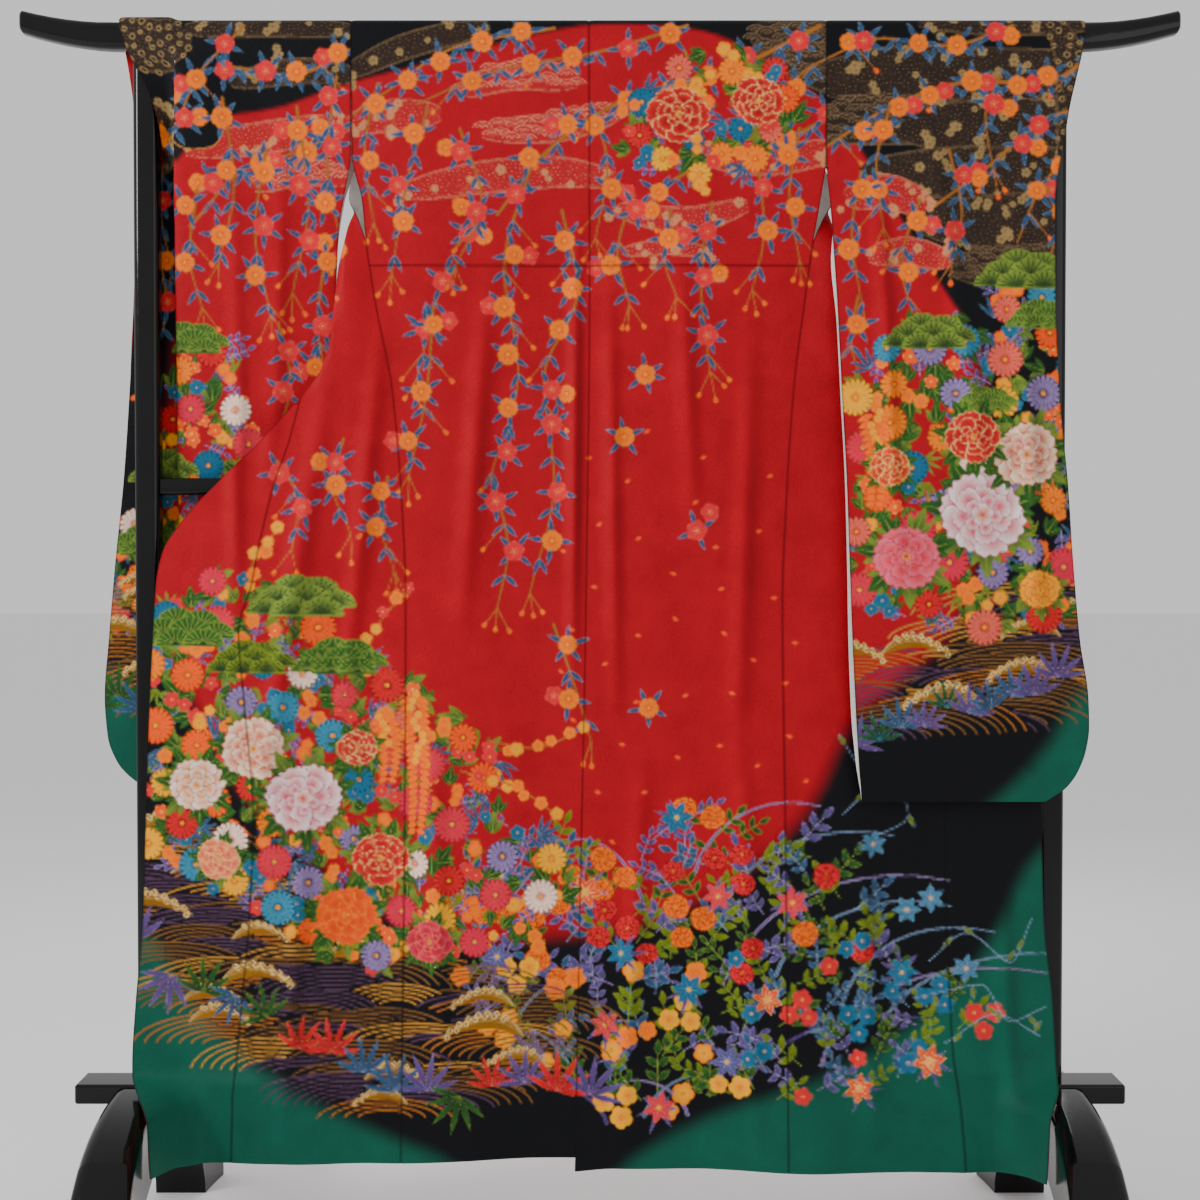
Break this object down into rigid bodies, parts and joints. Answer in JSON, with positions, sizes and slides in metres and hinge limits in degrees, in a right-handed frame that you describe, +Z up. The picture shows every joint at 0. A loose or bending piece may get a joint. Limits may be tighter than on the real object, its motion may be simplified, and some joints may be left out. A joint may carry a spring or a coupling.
{
  "type": "furisode kimono on a lacquered kimono stand",
  "caption": "Long-sleeved silk kimono spread over a black lacquered rail stand, back outward, fronts and long sleeves hanging open to show the whole pattern.",
  "frame": {"origin": "on the floor under the middle of the stand, which is the bottom centre of the bounding box", "axes": "+Z up, the kimono's back faces -Y, the stand is wide along X and its feet run along Y"},
  "size_m": [1.572, 0.6, 1.6904],
  "materials": {
    "black_lacquer": "gloss black lacquer on wood",
    "red_silk_crepe": "soft satin silk crepe, red ground with a dyed flower pattern",
    "navy_silk_crepe": "soft satin silk crepe, blue-black ground with a dyed flower pattern"
  },
  "bodies": {
    "root": {"back_left": "red_silk_crepe", "back_right": "red_silk_crepe", "bottom_board": "black_lacquer", "collar": "red_silk_crepe", "crossbar": "black_lacquer", "foot_left": "black_lacquer", "foot_right": "black_lacquer", "front_left": "red_silk_crepe", "front_right": "red_silk_crepe", "okumi_left": "navy_silk_crepe", "okumi_right": "navy_silk_crepe", "post_left": "black_lacquer", "post_right": "black_lacquer", "sleeve_left_back": "navy_silk_crepe", "sleeve_left_front": "navy_silk_crepe", "sleeve_right_back": "navy_silk_crepe", "sleeve_right_front": "navy_silk_crepe", "top_rail": "black_lacquer"}
  },
  "joints": []
}
